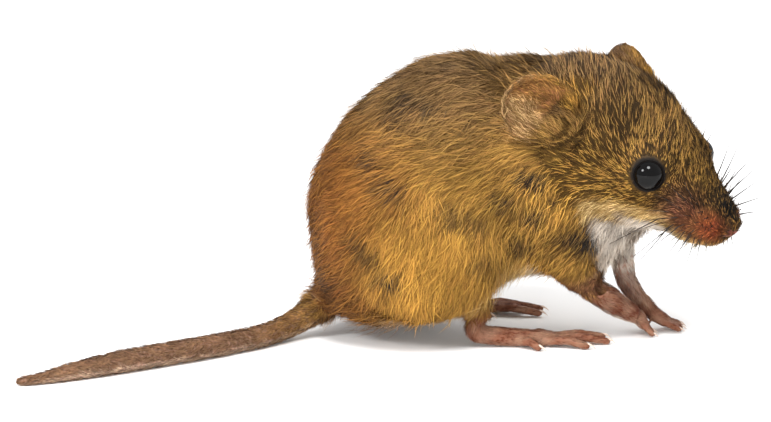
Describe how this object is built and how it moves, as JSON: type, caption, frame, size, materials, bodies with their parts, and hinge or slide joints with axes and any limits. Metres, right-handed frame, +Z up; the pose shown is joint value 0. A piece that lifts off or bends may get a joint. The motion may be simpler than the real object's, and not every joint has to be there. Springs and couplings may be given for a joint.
{
  "type": "harvest mouse",
  "caption": "Life-size still model of a harvest mouse standing on all fours with its head turned to its right and its tail laid behind it.",
  "frame": {"origin": "on the ground under the middle of the animal's box", "axes": "+X runs forward along the trunk, +Y to the animal's left, +Z up"},
  "size_m": [0.0664, 0.0316, 0.0275],
  "materials": {
    "coat": "dense agouti fur, golden brown with dark tips, warmer on the rump and white on the throat",
    "ear_skin": "thin skin with fine golden hair",
    "nose_skin": "moist bare skin",
    "leg_skin": "bare pinkish skin with very short hair",
    "tail_skin": "fine rings of scales under short hair",
    "eye": "wet, glossy",
    "claw": "translucent horn",
    "whisker": "smooth stiff hair"
  },
  "bodies": {
    "root": {"trunk": "coat", "neck": "coat", "head": "coat", "thigh_right": "coat", "thigh_left": "coat", "upper_arm_right": "coat", "upper_arm_left": "coat", "ear_right": "ear_skin", "ear_left": "ear_skin", "nose": "nose_skin", "eye_right": "eye", "eye_left": "eye", "shank_right": "leg_skin", "shank_left": "leg_skin", "forearm_right": "leg_skin", "forearm_left": "leg_skin", "hind_foot_right": "leg_skin", "hind_foot_left": "leg_skin", "fore_foot_right": "leg_skin", "fore_foot_left": "leg_skin", "tail_base": "tail_skin", "tail_middle": "tail_skin", "tail_end": "tail_skin"}
  },
  "joints": []
}
